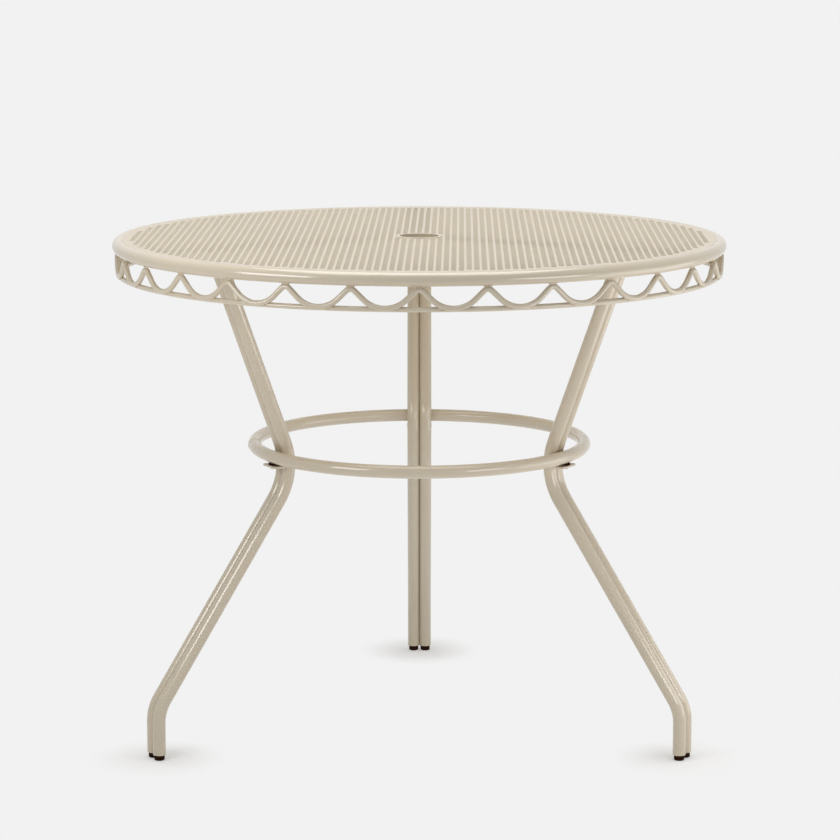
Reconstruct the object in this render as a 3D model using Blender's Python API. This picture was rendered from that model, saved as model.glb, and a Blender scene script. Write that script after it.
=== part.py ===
"""Round outdoor dining table, built as its separate pieces.

Metres, +Z up. The origin is on the floor under the centre of the top, and the front is
towards -Y. Each leg is modelled in its own upright plane, with X outwards, and then
turned to its place round the table.
"""

import math

import bmesh
import bpy
from mathutils import Matrix, Vector

# Whole table, with its height up to the crown of the rim
TABLE_HEIGHT = 0.743
TABLE_DIAMETER = 0.914
LEG_AZIMUTHS = {"rear": 90.0, "left": 210.0, "right": 330.0}
TUBE_PAIR = {1: -1, 2: 1}
FRONT = -math.pi / 2
GAP = 0.0003

# Rim and perforated sheet
RIM_TUBE_DIAMETER = 0.020
SHEET_DROP = 0.0003
SHEET_THICKNESS = 0.0015
SHEET_MARGIN = 0.0074
HOLE_PITCH = 0.01058
HOLE_SIZE = 0.0070

# Umbrella collar
UMBRELLA_BORE = 0.058
COLLAR_WALL = 0.0015
COLLAR_LENGTH = 0.030
FLANGE_DIAMETER = 0.070
FLANGE_THICKNESS = 0.0010

# Scalloped apron. The hoop's inset and drop are from the middle of the wave's troughs.
SCALLOP_COUNT = 30
WAVE_ROD_DIAMETER = 0.008
WAVE_SET_BACK = 0.0036
WAVE_DEPTH = 0.0257
FLANK_SLOPE = 44.0
CREST_BEND_RADIUS = 0.008
HOOP_ROD_DIAMETER = 0.0074
HOOP_INSET = 0.0024
HOOP_DROP = 0.0014

# Rails under the sheet and plates on the legs
RAIL_WIDTH = 0.044
RAIL_DEPTH = 0.014
RAIL_WALL = 0.002
PLATE_LENGTH = 0.110
PLATE_THICKNESS = 0.004
PLATE_CORNER = 0.008
PLATE_SCREW_INSET = 0.014

# Leg tubes: the path runs through these corners, which are then rounded. The insets are
# from the edge of the table, and the others from its axis and the floor.
LEG_TUBE_DIAMETER = 0.019
LEG_TUBE_WALL = 0.0015
PAIR_GAP = 0.0003
LEG_TOP_INSET = 0.122
WAIST_RADIUS = 0.216
WAIST_HEIGHT = 0.4065
WAIST_BEND_RADIUS = 0.095
FOOT_INSET = 0.0135
FOOT_BEND_HEIGHT = 0.0732
FOOT_BEND_RADIUS = 0.060

# Foot plugs
PLUG_EXPOSED = 0.008
PLUG_INSERTED = 0.018
PLUG_CHAMFER = 0.0015

# Base ring and the tabs that hold it, whose reach is from the middle of the ring's tube
RING_TUBE_DIAMETER = 0.019
TAB_THICKNESS = 0.003
TAB_REACH = 0.0082
TAB_CORNER = 0.004
SPACER_THICKNESS = 0.002
SPACER_DIAMETER = 0.014

# Fasteners
PLATE_SCREW_DIAMETER = 0.006
PLATE_HEAD_DIAMETER = 0.011
PLATE_HEAD_HEIGHT = 0.0035
BOSS_DIAMETER = 0.012
BOSS_HEIGHT = 0.006
TAB_SCREW_DIAMETER = 0.005
TAB_HEAD_DIAMETER = 0.009
TAB_HEAD_HEIGHT = 0.003
RIVET_NUT_DIAMETER = 0.0074
RIVET_NUT_LENGTH = 0.010
THREAD_PROUD = 0.001

# Fineness of the round shapes
HOOP_SEGMENTS = 60
RING_SEGMENTS = 48
TUBE_SIDES = 12
ROD_SIDES = 6
COLLAR_SEGMENTS = 24
FASTENER_SIDES = 8
WAIST_BEND_STEPS = 5
FOOT_BEND_STEPS = 3
TROUGH_STEPS = 6
CREST_STEPS = 4
CORNER_STEPS = 3
SMOOTH_ANGLE = math.radians(40)

# Half sizes and heights that several pieces share
RIM_TUBE_RADIUS = RIM_TUBE_DIAMETER / 2
RIM_RADIUS = TABLE_DIAMETER / 2 - RIM_TUBE_RADIUS
RIM_HEIGHT = TABLE_HEIGHT - RIM_TUBE_RADIUS
SHEET_TOP = TABLE_HEIGHT - SHEET_DROP
SHEET_BOTTOM = SHEET_TOP - SHEET_THICKNESS
RAIL_TOP = SHEET_BOTTOM - GAP
RAIL_BOTTOM = RAIL_TOP - RAIL_DEPTH
PLATE_TOP = RAIL_BOTTOM - GAP
PLATE_BOTTOM = PLATE_TOP - PLATE_THICKNESS
LEG_TOP = PLATE_BOTTOM - GAP
COLLAR_RADIUS = UMBRELLA_BORE / 2 + COLLAR_WALL
LEG_TUBE_RADIUS = LEG_TUBE_DIAMETER / 2
LEG_TOP_RADIUS = TABLE_DIAMETER / 2 - LEG_TOP_INSET
FOOT_RADIUS = TABLE_DIAMETER / 2 - FOOT_INSET
PAIR_OFFSET = LEG_TUBE_RADIUS + PAIR_GAP / 2
PAIR_HALF_WIDTH = PAIR_OFFSET + LEG_TUBE_RADIUS
RING_TUBE_RADIUS = RING_TUBE_DIAMETER / 2
WAVE_ROD_RADIUS = WAVE_ROD_DIAMETER / 2
WAVE_RADIUS = TABLE_DIAMETER / 2 - WAVE_SET_BACK - WAVE_ROD_RADIUS
CREST_HEIGHT = TABLE_HEIGHT - RIM_TUBE_DIAMETER - GAP - WAVE_ROD_RADIUS
HOOP_ROD_RADIUS = HOOP_ROD_DIAMETER / 2
HOOP_RADIUS = WAVE_RADIUS - HOOP_INSET
HOOP_HEIGHT = CREST_HEIGHT - WAVE_DEPTH - HOOP_DROP

MATERIALS = {
    "cream_powder_coat": ((0.66, 0.57, 0.45, 1.0), 0.35, 0.0),
    "dark_plastic": ((0.020, 0.012, 0.008, 1.0), 0.55, 0.0),
    "zinc_steel": ((0.56, 0.55, 0.52, 1.0), 0.40, 1.0),
}


def clear_scene():
    for old in list(bpy.data.objects):
        bpy.data.objects.remove(old, do_unlink=True)


def material(name):
    """The named finish, made the first time that it is asked for."""
    found = bpy.data.materials.get(name)
    if found:
        return found
    colour, roughness, metallic = MATERIALS[name]
    made = bpy.data.materials.new(name)
    made.use_nodes = True
    shader = made.node_tree.nodes["Principled BSDF"]
    shader.inputs["Base Color"].default_value = colour
    shader.inputs["Roughness"].default_value = roughness
    shader.inputs["Metallic"].default_value = metallic
    made.diffuse_color = colour
    return made


def placed(azimuth, radius):
    """The place at a radius in a leg's plane, turned as the leg is."""
    return Matrix.Rotation(math.radians(azimuth), 4, "Z") @ Matrix.Translation((radius, 0.0, 0.0))


def add_object(name, bm, finish, azimuth=0.0, radius=0.0):
    """Turn a bmesh into a named object, moved outwards and turned to its place."""
    bmesh.ops.recalc_face_normals(bm, faces=bm.faces)
    mesh = bpy.data.meshes.new(name)
    bm.to_mesh(mesh)
    bm.free()
    mesh.shade_smooth()
    mesh.set_sharp_from_angle(angle=SMOOTH_ANGLE)
    mesh.materials.append(material(finish))
    made = bpy.data.objects.new(name, mesh)
    made.matrix_world = placed(azimuth, radius)
    bpy.context.scene.collection.objects.link(made)
    return made


def add_cutter(name, bm, azimuth=0.0):
    """A guide shape for a Boolean, which isn't a piece of the table."""
    cutter = add_object(name, bm, "zinc_steel", azimuth)
    cutter.hide_render = True
    cutter.display_type = "WIRE"
    return cutter


def cut(target, cutter):
    modifier = target.modifiers.new(cutter.name, "BOOLEAN")
    modifier.operation = "DIFFERENCE"
    modifier.solver = "EXACT"
    modifier.object = cutter


def add_loop(bm, points):
    return [bm.verts.new(point) for point in points]


def bridge(bm, loops, closed=False):
    """Quads between each loop of vertices and the next, and back to the first if closed."""
    pairs = list(zip(loops, loops[1:]))
    if closed:
        pairs.append((loops[-1], loops[0]))
    for first, second in pairs:
        for k in range(len(first)):
            bm.faces.new((first[k - 1], first[k], second[k], second[k - 1]))


def add_turned(bm, profile, sides, place=Matrix(), hollow=False):
    """A shape turned about Z from (radius, height) pairs: a ring if hollow, or else capped."""
    loops = []
    for radius, height in profile:
        angles = [math.tau * k / sides for k in range(sides)]
        circle = [Vector((radius * math.cos(a), radius * math.sin(a), height)) for a in angles]
        loops.append(add_loop(bm, [place @ point for point in circle]))
    bridge(bm, loops, closed=hollow)
    if not hollow:
        bm.faces.new(loops[0])
        bm.faces.new(loops[-1])


def add_extruded(bm, outline, low, high):
    """A flat plate: an outline in X and Y, from one height to another."""
    loops = [add_loop(bm, [(x, y, z) for x, y in outline]) for z in (low, high)]
    bridge(bm, loops)
    bm.faces.new(loops[0])
    bm.faces.new(loops[1])


def arc_points(centre, radius, start, end, steps):
    """Points on an arc, with angles in radians from the first axis."""
    angles = [start + (end - start) * k / steps for k in range(steps + 1)]
    return [(centre[0] + radius * math.cos(a), centre[1] + radius * math.sin(a)) for a in angles]


def rounded_rectangle(centre_x, length, width, corner):
    """The outline of a plate along X with round corners."""
    outline = []
    for quarter in range(4):
        start = quarter * math.pi / 2
        sign_x = 1 if quarter in (0, 3) else -1
        sign_y = 1 if quarter in (0, 1) else -1
        centre = (centre_x + sign_x * (length / 2 - corner), sign_y * (width / 2 - corner))
        outline += arc_points(centre, corner, start, start + math.pi / 2, CORNER_STEPS)
    return outline


def hoop_mesh(hoop_radius, tube_radius, height, segments, sides):
    """The mesh of a closed round hoop, with a corner of its outline at the front."""
    bm = bmesh.new()
    loops = []
    for step in range(segments):
        around = FRONT + math.tau * step / segments
        circle = []
        for k in range(sides):
            angle = math.tau * k / sides
            radius = hoop_radius + tube_radius * math.cos(angle)
            level = height + tube_radius * math.sin(angle)
            circle.append((radius * math.cos(around), radius * math.sin(around), level))
        loops.append(add_loop(bm, circle))
    bridge(bm, loops, closed=True)
    return bm


def tube_half_width(tube_radius, level):
    """Half the width of a round tube at a level above its centre."""
    return math.sqrt(max(tube_radius ** 2 - level ** 2, 0.0))


def sheet_radius():
    """The sheet ends where its lower edge meets the inner wall of the rim tube."""
    return RIM_RADIUS - tube_half_width(RIM_TUBE_RADIUS, SHEET_BOTTOM - RIM_HEIGHT) - GAP


def hole_rows(column_x, field_radius, kept_radius):
    """First and last whole rows of holes in a column, above the middle of the sheet."""
    far = math.sqrt(max(field_radius ** 2 - (abs(column_x) + HOLE_SIZE / 2) ** 2, 0.0))
    near_side = max(abs(column_x) - HOLE_SIZE / 2, 0.0)
    last = math.floor((far - HOLE_SIZE / 2) / HOLE_PITCH)
    if near_side >= kept_radius:
        return None, last
    near = math.sqrt(kept_radius ** 2 - near_side ** 2)
    return math.ceil((near + HOLE_SIZE / 2) / HOLE_PITCH), last


def add_box(bm, low, high):
    outline = [(low[0], low[1]), (high[0], low[1]), (high[0], high[1]), (low[0], high[1])]
    add_extruded(bm, outline, low[2], high[2])


def make_slot_cutter():
    """One slot for each row of holes, broken only at the collar, and the collar's own hole."""
    bm = bmesh.new()
    low, high = SHEET_BOTTOM - SHEET_THICKNESS, SHEET_TOP + SHEET_THICKNESS
    field_radius = sheet_radius() - SHEET_MARGIN
    columns = math.floor((field_radius - HOLE_SIZE / 2) / HOLE_PITCH)
    for column in range(-columns, columns + 1):
        x = column * HOLE_PITCH
        first, last = hole_rows(x, field_radius, FLANGE_DIAMETER / 2)
        end = last * HOLE_PITCH + HOLE_SIZE / 2
        left, right = x - HOLE_SIZE / 2, x + HOLE_SIZE / 2
        if last < 1:
            continue
        if first is None:
            add_box(bm, (left, -end, low), (right, end, high))
            continue
        start = first * HOLE_PITCH - HOLE_SIZE / 2
        add_box(bm, (left, start, low), (right, end, high))
        add_box(bm, (left, -end, low), (right, -start, high))
    hole = COLLAR_RADIUS + GAP
    add_turned(bm, [(hole, low), (hole, high)], COLLAR_SEGMENTS)
    return add_cutter("slot_cutter", bm)


def make_top_sheet():
    """The flat sheet inside the rim, with its rows of holes drawn as slots."""
    bm = bmesh.new()
    radius = sheet_radius()
    outline = arc_points((0.0, 0.0), radius, FRONT, FRONT + math.tau, HOOP_SEGMENTS)[:-1]
    add_extruded(bm, outline, SHEET_BOTTOM, SHEET_TOP)
    cut(add_object("top_sheet", bm, "cream_powder_coat"), make_slot_cutter())


def make_umbrella_collar():
    """A flange on top of the sheet and a sleeve down through it."""
    bore = UMBRELLA_BORE / 2
    flange = FLANGE_DIAMETER / 2
    flange_bottom = SHEET_TOP + GAP
    flange_top = flange_bottom + FLANGE_THICKNESS
    sleeve_end = flange_top - COLLAR_LENGTH
    profile = [(bore, flange_top), (flange, flange_top), (flange, flange_bottom)]
    profile += [(COLLAR_RADIUS, flange_bottom), (COLLAR_RADIUS, sleeve_end), (bore, sleeve_end)]
    bm = bmesh.new()
    add_turned(bm, profile, COLLAR_SEGMENTS, hollow=True)
    add_object("umbrella_collar", bm, "cream_powder_coat")


def scallop_path():
    """One scallop from crest to crest, as (distance, height below the crest, slope).

    The crest and the trough are arcs, and a straight flank of a set slope is tangent to both.
    Half a scallop is (R + r) sin a + L cos a long and (R + r)(1 - cos a) + L sin a deep, with
    a the slope, L the flank and R and r the bend radii, so that
    R + r = (half - depth / tan a) / tan(a / 2).
    """
    half = math.pi * WAVE_RADIUS / SCALLOP_COUNT
    slope = math.radians(FLANK_SLOPE)
    trough_radius = (half - WAVE_DEPTH / math.tan(slope)) / math.tan(slope / 2) - CREST_BEND_RADIUS
    path = []
    for step in range(CREST_STEPS // 2 + 1):
        angle = 2 * slope * step / CREST_STEPS
        drop = CREST_BEND_RADIUS * (1 - math.cos(angle))
        path.append((CREST_BEND_RADIUS * math.sin(angle), drop, -angle))
    for step in range(TROUGH_STEPS + 1):
        angle = slope * (2 * step / TROUGH_STEPS - 1)
        drop = WAVE_DEPTH - trough_radius * (1 - math.cos(angle))
        path.append((half + trough_radius * math.sin(angle), drop, angle))
    for step in range(CREST_STEPS // 2, 0, -1):
        angle = 2 * slope * step / CREST_STEPS
        drop = CREST_BEND_RADIUS * (1 - math.cos(angle))
        path.append((2 * half - CREST_BEND_RADIUS * math.sin(angle), drop, angle))
    return path


def make_apron_wave():
    """The rod bent into scallops on an upright cylinder, with a crest at the front.

    Its troughs are notched on the inside, where they lap over the hoop and are welded to it.
    """
    bm = bmesh.new()
    loops = []
    path = scallop_path()
    for scallop in range(SCALLOP_COUNT):
        start = FRONT + math.tau * scallop / SCALLOP_COUNT
        for distance, drop, slope in path:
            around = start + distance / WAVE_RADIUS
            out = Vector((math.cos(around), math.sin(around), 0.0))
            along = Vector((-math.sin(around), math.cos(around), 0.0))
            across = Vector((0, 0, math.cos(slope))) - along * math.sin(slope)
            centre = out * WAVE_RADIUS + Vector((0, 0, CREST_HEIGHT - drop))
            turns = [math.pi / 2 + math.tau * k / ROD_SIDES for k in range(ROD_SIDES)]
            spokes = [out * math.cos(a) + across * math.sin(a) for a in turns]
            loops.append(add_loop(bm, [centre + spoke * WAVE_ROD_RADIUS for spoke in spokes]))
    bridge(bm, loops, closed=True)
    wave = add_object("apron_wave", bm, "cream_powder_coat")
    notch = HOOP_ROD_RADIUS + GAP / math.cos(math.pi / ROD_SIDES)
    cutter = hoop_mesh(HOOP_RADIUS, notch, HOOP_HEIGHT, HOOP_SEGMENTS, ROD_SIDES)
    cut(wave, add_cutter("trough_notch_cutter", cutter))


def make_apron_hoop():
    """The thin hoop that closes the wave below, in the notches of its troughs."""
    bm = hoop_mesh(HOOP_RADIUS, HOOP_ROD_RADIUS, HOOP_HEIGHT, HOOP_SEGMENTS, ROD_SIDES)
    add_object("apron_hoop", bm, "cream_powder_coat")


def fillet(before, corner, after, radius, steps):
    """The arc that rounds a corner, as (x, z) points with the angle of the path there."""
    incoming = (corner - before).normalized()
    outgoing = (after - corner).normalized()
    start = math.atan2(incoming.y, incoming.x)
    turn = incoming.angle_signed(outgoing) * -1
    cut_back = radius * math.tan(abs(turn) / 2)
    side = math.copysign(1.0, turn)
    centre = corner - incoming * cut_back + Vector((-incoming.y, incoming.x)) * radius * side
    points = []
    for step in range(steps + 1):
        heading = start + turn * step / steps
        normal = Vector((-math.sin(heading), math.cos(heading)))
        points.append((centre - normal * radius * side, heading))
    return points


def leg_path():
    """The centreline of a leg tube in its own plane, from the foot up, with its headings."""
    foot = Vector((FOOT_RADIUS, PLUG_EXPOSED))
    foot_bend = Vector((FOOT_RADIUS, FOOT_BEND_HEIGHT))
    waist = Vector((WAIST_RADIUS, WAIST_HEIGHT))
    top = Vector((LEG_TOP_RADIUS, LEG_TOP))
    last = top - waist
    path = [(foot, math.pi / 2)]
    path += fillet(foot, foot_bend, waist, FOOT_BEND_RADIUS, FOOT_BEND_STEPS)
    path += fillet(foot_bend, waist, top, WAIST_BEND_RADIUS, WAIST_BEND_STEPS)
    path.append((top, math.atan2(last.y, last.x)))
    return path


def leg_radius_at(height):
    """Distance from the table's axis to the leg's centreline at a height."""
    points = [point for point, heading in leg_path()]
    for low, high in zip(points, points[1:]):
        if low.y <= height <= high.y:
            return low.lerp(high, (height - low.y) / (high.y - low.y)).x
    return LEG_TOP_RADIUS


def waist_point():
    """The narrowest place of the legs: radius and height."""
    narrow = min((point for point, heading in leg_path()), key=lambda point: point.x)
    return narrow.x, narrow.y


def leg_loop(bm, centre, heading, side, radius, level=None):
    """One ring of a leg tube, square to its path or, at an end, cut level."""
    along = Vector((math.cos(heading), 0.0, math.sin(heading)))
    out = Vector((math.sin(heading), 0.0, -math.cos(heading)))
    middle = Vector((centre.x, side * PAIR_OFFSET, centre.y))
    points = []
    for k in range(TUBE_SIDES):
        angle = math.tau * k / TUBE_SIDES
        point = middle + (out * math.cos(angle) + Vector((0, math.sin(angle), 0))) * radius
        if level is not None:
            point += along * (level - point.z) / along.z
        points.append(point)
    return add_loop(bm, points)


def make_leg_tube(name, azimuth, side):
    """One of a leg's two tubes, open at both ends, with its top cut level for the plate."""
    bm = bmesh.new()
    path = leg_path()
    levels = [PLUG_EXPOSED] + [None] * (len(path) - 2) + [LEG_TOP]
    walls = []
    for radius in (LEG_TUBE_RADIUS, LEG_TUBE_RADIUS - LEG_TUBE_WALL):
        stations = zip(path, levels)
        walls.append([leg_loop(bm, p, h, side, radius, level) for (p, h), level in stations])
    outer, inner = walls
    bridge(bm, outer + inner[::-1], closed=True)
    add_object(name, bm, "cream_powder_coat", azimuth)


def make_foot_plug(name, azimuth, side):
    """A plug in the tube's end, proud of it below, with a chamfered lower edge."""
    radius = LEG_TUBE_RADIUS - LEG_TUBE_WALL - GAP
    top = PLUG_EXPOSED + PLUG_INSERTED
    profile = [(radius - PLUG_CHAMFER, 0.0), (radius, PLUG_CHAMFER), (radius, top)]
    bm = bmesh.new()
    add_turned(bm, profile, TUBE_SIDES, Matrix.Translation((FOOT_RADIUS, side * PAIR_OFFSET, 0.0)))
    add_object(name, bm, "dark_plastic", azimuth)


def plate_screw_radii():
    """The two screws of a leg plate, inside and outside of the leg."""
    reach = PLATE_LENGTH / 2 - PLATE_SCREW_INSET
    return [LEG_TOP_RADIUS + side * reach for side in (-1, 1)]


def make_screw_hole_cutter(name, azimuth, radii, hole_radius, low, high):
    bm = bmesh.new()
    for radius in radii:
        profile = [(hole_radius, low), (hole_radius, high)]
        add_turned(bm, profile, FASTENER_SIDES, Matrix.Translation((radius, 0.0, 0.0)))
    return add_cutter(name, bm, azimuth)


def make_top_rail(side, azimuth):
    """A channel with its open side up, from the collar out to the rim tube."""
    half = RAIL_WIDTH / 2
    wall = RAIL_WALL
    inner = COLLAR_RADIUS + GAP
    rim_wall = (RIM_RADIUS - RIM_TUBE_RADIUS) * math.cos(math.pi / HOOP_SEGMENTS) - GAP
    outer = math.sqrt(rim_wall ** 2 - half ** 2)
    section = [(-half, RAIL_BOTTOM), (half, RAIL_BOTTOM), (half, RAIL_TOP), (half - wall, RAIL_TOP)]
    section += [(half - wall, RAIL_BOTTOM + wall), (wall - half, RAIL_BOTTOM + wall)]
    section += [(wall - half, RAIL_TOP), (-half, RAIL_TOP)]
    bm = bmesh.new()
    loops = [add_loop(bm, [(x, y, z) for y, z in section]) for x in (inner, outer)]
    bridge(bm, loops)
    bm.faces.new(loops[0])
    bm.faces.new(loops[1])
    rail = add_object(f"{side}_top_rail", bm, "cream_powder_coat", azimuth)
    hole = PLATE_SCREW_DIAMETER / 2 + GAP
    low, high = RAIL_BOTTOM - wall, RAIL_BOTTOM + 2 * wall
    name = f"{side}_rail_hole_cutter"
    cut(rail, make_screw_hole_cutter(name, azimuth, plate_screw_radii(), hole, low, high))


def make_leg_plate(side, azimuth):
    """The plate on top of a pair of tubes, under its rail and as wide."""
    bm = bmesh.new()
    outline = rounded_rectangle(LEG_TOP_RADIUS, PLATE_LENGTH, RAIL_WIDTH, PLATE_CORNER)
    add_extruded(bm, outline, PLATE_BOTTOM, PLATE_TOP)
    plate = add_object(f"{side}_leg_plate", bm, "cream_powder_coat", azimuth)
    hole = PLATE_SCREW_DIAMETER / 2 + GAP
    low, high = PLATE_BOTTOM - PLATE_THICKNESS, PLATE_TOP + PLATE_THICKNESS
    name = f"{side}_plate_hole_cutter"
    cut(plate, make_screw_hole_cutter(name, azimuth, plate_screw_radii(), hole, low, high))


def ring_levels():
    """Heights of the tab, the spacer and the base ring, stacked up from the waist."""
    tab_bottom = waist_point()[1] - TAB_THICKNESS / 2
    tab_top = tab_bottom + TAB_THICKNESS
    spacer_bottom = tab_top + GAP
    ring_bottom = spacer_bottom + SPACER_THICKNESS + GAP
    return tab_bottom, tab_top, spacer_bottom, ring_bottom


def ring_radius():
    """The base ring's flats touch the legs, whose centreline leans where they meet."""
    height = ring_levels()[3] + RING_TUBE_RADIUS
    step = LEG_TUBE_RADIUS / 2
    lean = (leg_radius_at(height + step) - leg_radius_at(height - step)) / LEG_TUBE_RADIUS
    leg_face = LEG_TUBE_RADIUS * math.hypot(1.0, lean)
    reach = math.hypot(leg_radius_at(height), PAIR_OFFSET) + leg_face + GAP
    return reach / math.cos(math.pi / RING_SEGMENTS) + RING_TUBE_RADIUS


def make_base_ring():
    """The hoop round the waist, drilled from below for its three threaded inserts."""
    bottom = ring_levels()[3]
    height = bottom + RING_TUBE_RADIUS
    bm = hoop_mesh(ring_radius(), RING_TUBE_RADIUS, height, RING_SEGMENTS, TUBE_SIDES)
    ring = add_object("base_ring", bm, "cream_powder_coat")
    hole = RIVET_NUT_DIAMETER / 2 + GAP
    holes = bmesh.new()
    for azimuth in LEG_AZIMUTHS.values():
        profile = [(hole, bottom - RING_TUBE_RADIUS), (hole, bottom + RIVET_NUT_LENGTH + GAP)]
        add_turned(holes, profile, FASTENER_SIDES, placed(azimuth, ring_radius()))
    cut(ring, add_cutter("insert_hole_cutter", holes))


def make_waist_cutter(name, azimuth, side, low, high):
    """One tube of a leg at the waist, with its clearance."""
    bm = bmesh.new()
    place = Matrix.Translation((waist_point()[0], side * PAIR_OFFSET, 0.0))
    seat = LEG_TUBE_RADIUS + GAP
    add_turned(bm, [(seat, low), (seat, high)], TUBE_SIDES, place)
    return add_cutter(name, bm, azimuth)


def make_ring_tab(side, azimuth):
    """The flat plate that carries the base ring: as wide as its leg, with rounded corners."""
    tab_bottom, tab_top = ring_levels()[:2]
    inner = waist_point()[0]
    end = ring_radius() + TAB_REACH - TAB_CORNER
    edge = PAIR_HALF_WIDTH - TAB_CORNER
    quarter = math.pi / 2
    outline = [(inner, -PAIR_HALF_WIDTH)]
    outline += arc_points((end, -edge), TAB_CORNER, -quarter, 0.0, CORNER_STEPS)
    outline += arc_points((end, edge), TAB_CORNER, 0.0, quarter, CORNER_STEPS)
    outline.append((inner, PAIR_HALF_WIDTH))
    bm = bmesh.new()
    add_extruded(bm, outline, tab_bottom, tab_top)
    tab = add_object(f"{side}_ring_tab", bm, "cream_powder_coat", azimuth)
    low, high = tab_bottom - TAB_THICKNESS, tab_top + TAB_THICKNESS
    for number, offset_side in TUBE_PAIR.items():
        name = f"{side}_waist_cutter_{number}"
        cut(tab, make_waist_cutter(name, azimuth, offset_side, low, high))
    hole = TAB_SCREW_DIAMETER / 2 + GAP
    name = f"{side}_tab_hole_cutter"
    cut(tab, make_screw_hole_cutter(name, azimuth, [ring_radius()], hole, low, high))


def make_fastener(name, profile, azimuth, radius, finish="zinc_steel", hollow=False):
    """A small turned piece, upright at a radius in a leg's plane."""
    bm = bmesh.new()
    add_turned(bm, profile, FASTENER_SIDES, hollow=hollow)
    add_object(name, bm, finish, azimuth, radius)


def sleeve_profile(bore, outer, low, high):
    return [(bore, low), (outer, low), (outer, high), (bore, high)]


def screw_profile(seat, head_diameter, head_height, diameter, tip):
    """A screw from below: its head under the seat and its shank up to the tip."""
    head_top = seat - GAP
    head, shank = head_diameter / 2, diameter / 2
    return [(head, head_top - head_height), (head, head_top), (shank, head_top), (shank, tip)]


def make_plate_fasteners(side, azimuth):
    """Screws up through the leg plate and the rail into threaded bosses on the rail."""
    boss_bottom = RAIL_BOTTOM + RAIL_WALL + GAP
    boss_top = boss_bottom + BOSS_HEIGHT
    bore = PLATE_SCREW_DIAMETER / 2 + GAP
    boss = sleeve_profile(bore, BOSS_DIAMETER / 2, boss_bottom, boss_top)
    head = (PLATE_HEAD_DIAMETER, PLATE_HEAD_HEIGHT)
    screw = screw_profile(PLATE_BOTTOM, *head, PLATE_SCREW_DIAMETER, boss_top + THREAD_PROUD)
    for place, radius in zip(("inner", "outer"), plate_screw_radii()):
        make_fastener(f"{side}_rail_boss_{place}", boss, azimuth, radius, hollow=True)
        make_fastener(f"{side}_plate_screw_{place}", screw, azimuth, radius)


def make_ring_fasteners(side, azimuth):
    """A screw up through the tab, a dark spacer under the ring and an insert inside it."""
    tab_bottom, tab_top, spacer_bottom, ring_bottom = ring_levels()
    place = (azimuth, ring_radius())
    bore = TAB_SCREW_DIAMETER / 2 + GAP
    nut_top = ring_bottom + RIVET_NUT_LENGTH
    nut = sleeve_profile(bore, RIVET_NUT_DIAMETER / 2, ring_bottom, nut_top)
    make_fastener(f"{side}_ring_rivet_nut", nut, *place, hollow=True)
    spacer_top = spacer_bottom + SPACER_THICKNESS
    spacer = sleeve_profile(bore, SPACER_DIAMETER / 2, spacer_bottom, spacer_top)
    make_fastener(f"{side}_ring_spacer", spacer, *place, "dark_plastic", hollow=True)
    head = (TAB_HEAD_DIAMETER, TAB_HEAD_HEIGHT)
    screw = screw_profile(tab_bottom, *head, TAB_SCREW_DIAMETER, nut_top - THREAD_PROUD)
    make_fastener(f"{side}_ring_screw", screw, *place)


def make_top():
    rim = hoop_mesh(RIM_RADIUS, RIM_TUBE_RADIUS, RIM_HEIGHT, HOOP_SEGMENTS, TUBE_SIDES)
    add_object("rim_tube", rim, "cream_powder_coat")
    make_top_sheet()
    make_umbrella_collar()
    make_apron_wave()
    make_apron_hoop()


def make_leg(side, azimuth):
    make_top_rail(side, azimuth)
    make_leg_plate(side, azimuth)
    make_ring_tab(side, azimuth)
    for number, offset_side in TUBE_PAIR.items():
        make_leg_tube(f"{side}_leg_tube_{number}", azimuth, offset_side)
        make_foot_plug(f"{side}_foot_plug_{number}", azimuth, offset_side)
    make_plate_fasteners(side, azimuth)
    make_ring_fasteners(side, azimuth)


def main():
    clear_scene()
    make_top()
    for side, azimuth in LEG_AZIMUTHS.items():
        make_leg(side, azimuth)
    make_base_ring()


main()
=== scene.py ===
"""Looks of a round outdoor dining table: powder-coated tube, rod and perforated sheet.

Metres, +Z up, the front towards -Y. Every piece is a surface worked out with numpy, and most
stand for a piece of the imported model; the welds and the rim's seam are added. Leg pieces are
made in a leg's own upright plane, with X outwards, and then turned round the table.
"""

import math

import bpy
import numpy as np
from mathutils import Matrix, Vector
from mathutils.geometry import delaunay_2d_cdt


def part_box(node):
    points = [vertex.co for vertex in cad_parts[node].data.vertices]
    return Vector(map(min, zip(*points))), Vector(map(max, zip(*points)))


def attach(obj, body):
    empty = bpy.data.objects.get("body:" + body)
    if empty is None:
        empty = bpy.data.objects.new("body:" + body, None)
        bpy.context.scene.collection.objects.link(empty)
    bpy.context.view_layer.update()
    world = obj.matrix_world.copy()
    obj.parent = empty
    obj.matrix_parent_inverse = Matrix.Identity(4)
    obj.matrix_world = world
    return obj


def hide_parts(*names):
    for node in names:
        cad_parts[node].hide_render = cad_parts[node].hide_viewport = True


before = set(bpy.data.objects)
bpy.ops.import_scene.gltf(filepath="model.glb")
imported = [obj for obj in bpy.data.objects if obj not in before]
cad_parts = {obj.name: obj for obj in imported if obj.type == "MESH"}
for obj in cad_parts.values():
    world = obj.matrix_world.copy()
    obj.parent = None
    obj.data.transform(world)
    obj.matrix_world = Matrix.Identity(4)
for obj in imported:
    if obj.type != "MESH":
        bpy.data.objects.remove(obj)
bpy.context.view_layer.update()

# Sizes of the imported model
CROWN = 0.743
RIM_RADIUS = 0.447
RIM_TUBE = 0.010
RIM_HEIGHT = CROWN - RIM_TUBE
SHEET_TOP = 0.7427
SHEET_THICKNESS = 0.0015
SHEET_BOTTOM = SHEET_TOP - SHEET_THICKNESS
FIELD_RADIUS = 0.4336
HOLE_PITCH = 0.01058
HOLE_HALF = 0.0035
BORE = 0.029
SLEEVE = 0.0305
SLEEVE_WALL = 0.0011
SLEEVE_END = 0.714
FLANGE = 0.035
FLANGE_TOP = 0.744
SCALLOPS = 30
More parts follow.
